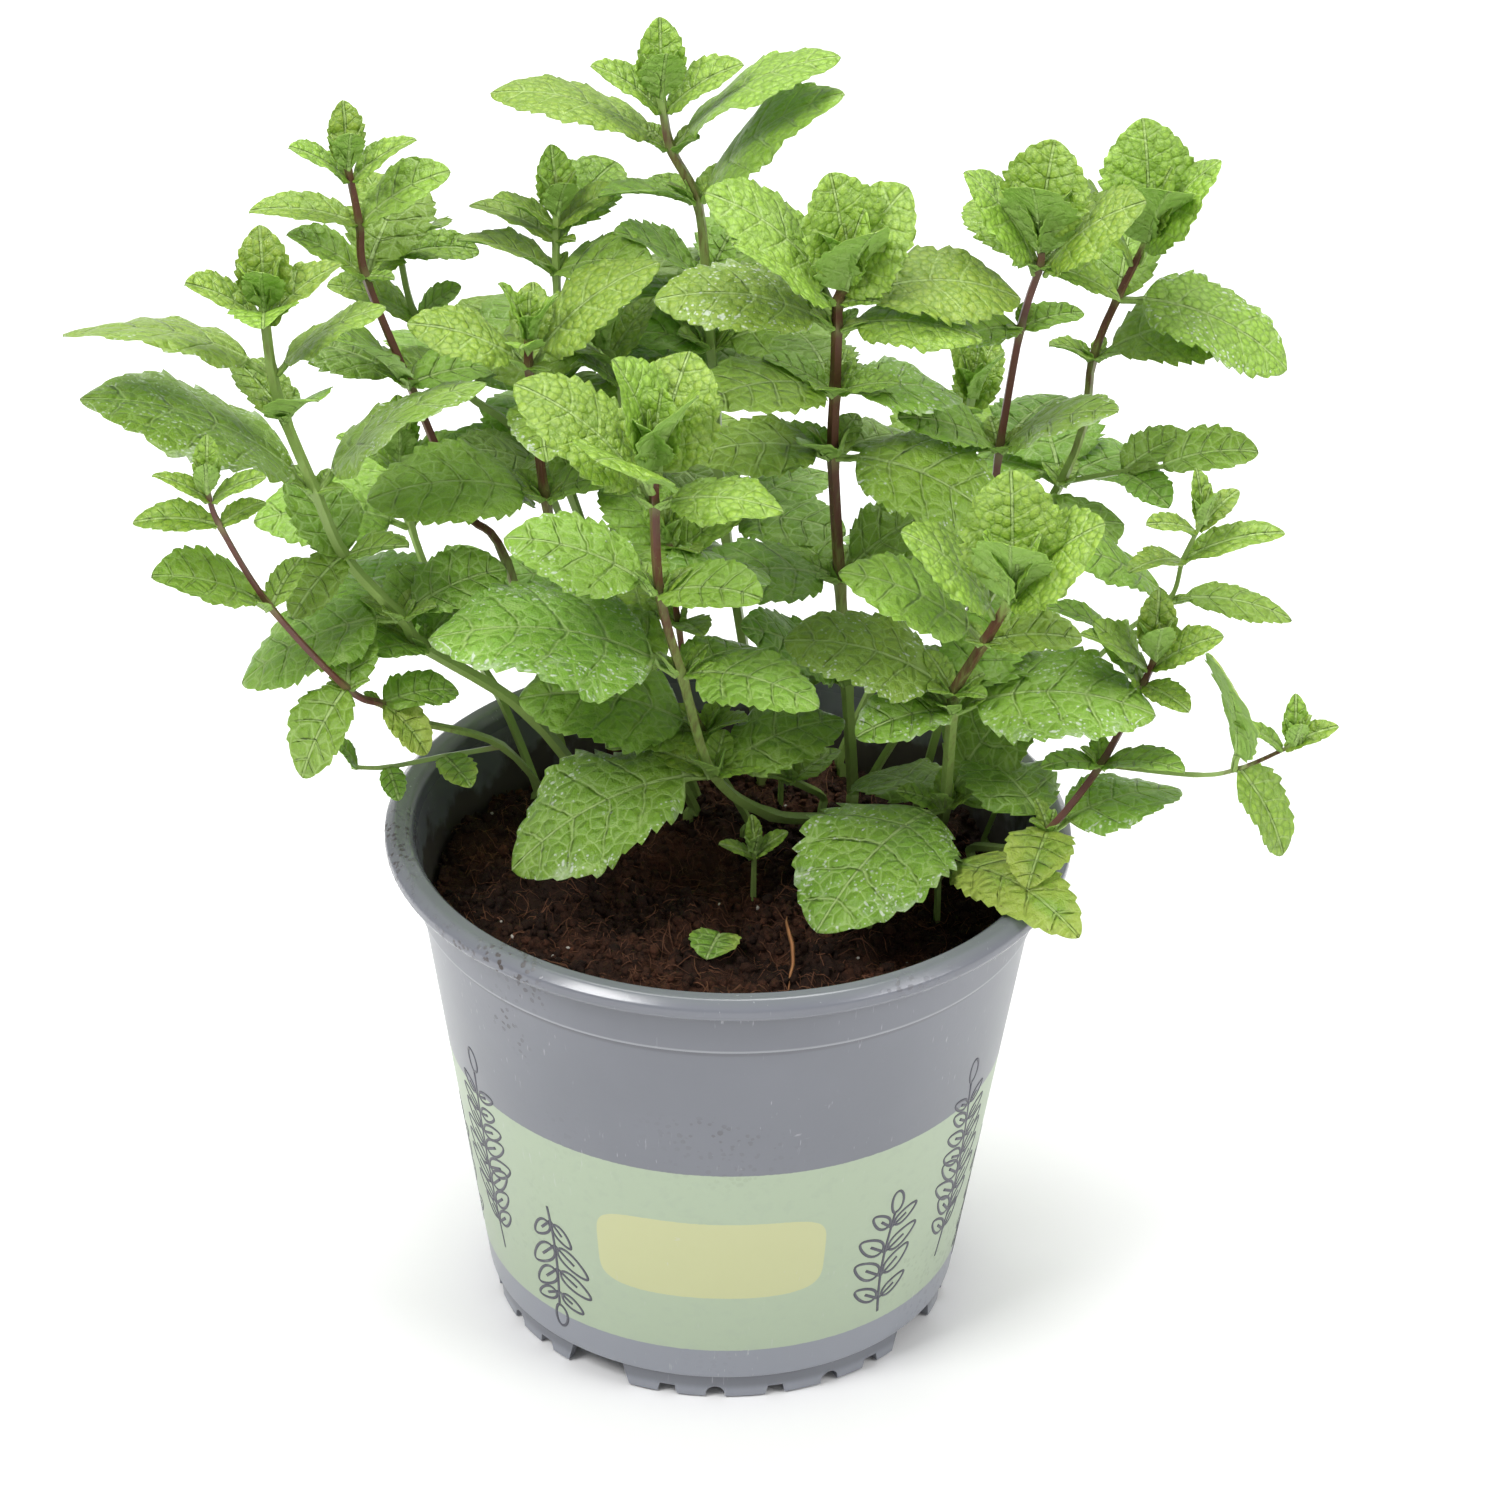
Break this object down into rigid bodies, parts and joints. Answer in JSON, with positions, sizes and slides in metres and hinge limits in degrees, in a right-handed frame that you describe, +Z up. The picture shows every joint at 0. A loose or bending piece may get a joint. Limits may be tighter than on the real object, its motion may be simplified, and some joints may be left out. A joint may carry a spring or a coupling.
{
  "type": "potted mint plant",
  "caption": "Leafy mint plant with square stems and toothed leaves, growing in a filled round plastic nursery pot.",
  "frame": {"origin": "on the surface that the pot stands on, under the middle of the whole plant's bounding box; the pot's axis is at x 5 mm, y -18.5 mm", "axes": "+Z up, -Y towards the pot's front as pictured, +X to its right"},
  "size_m": [0.23, 0.167, 0.2431],
  "materials": {
    "pot_plastic": "satin",
    "soil": "rough",
    "leaf": "satin"
  },
  "bodies": {
    "root": {"pot": "pot_plastic", "soil": "soil", "leafy_stem_01": "leaf", "leafy_stem_02": "leaf", "leafy_stem_03": "leaf", "leafy_stem_04": "leaf", "leafy_stem_05": "leaf", "leafy_stem_06": "leaf", "leafy_stem_07": "leaf", "leafy_stem_08": "leaf", "leafy_stem_09": "leaf", "leafy_stem_10": "leaf", "leafy_stem_11": "leaf", "leafy_stem_12": "leaf", "leafy_stem_13": "leaf", "leafy_stem_14": "leaf", "leafy_stem_15": "leaf", "leafy_stem_16": "leaf", "leafy_stem_17": "leaf", "leafy_stem_18": "leaf", "leafy_stem_19": "leaf", "leafy_stem_20": "leaf"}
  },
  "joints": []
}
